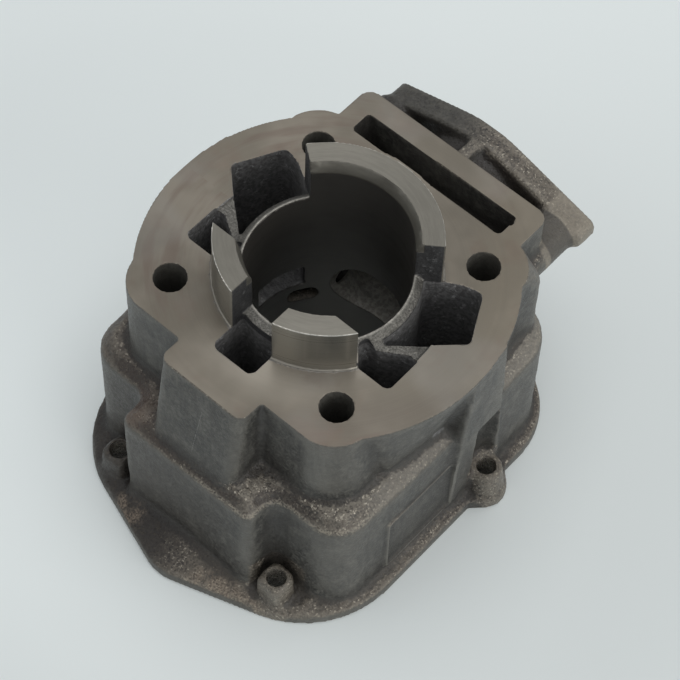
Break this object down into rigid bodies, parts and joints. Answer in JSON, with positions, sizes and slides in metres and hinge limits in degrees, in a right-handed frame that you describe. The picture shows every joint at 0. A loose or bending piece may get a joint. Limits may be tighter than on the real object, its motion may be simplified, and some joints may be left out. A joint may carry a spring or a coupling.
{
  "type": "engine cylinder",
  "caption": "Liquid-cooled two-stroke engine cylinder: ported bore with a notched spigot, transfer pockets in the crankcase face, stepped water jacket, head flange and side exhaust flange.",
  "frame": {"origin": "centre of the bore in the head face, which the part stands on", "axes": "+Z along the bore from the head face to the crankcase face and spigot, +Y to the exhaust flange, +X to the side wall with the plain framed panel"},
  "size_m": [0.0994, 0.1217, 0.0811],
  "materials": {
    "casting": "sand cast with machined faces"
  },
  "bodies": {
    "root": {"cylinder_casting": "casting"}
  },
  "joints": []
}
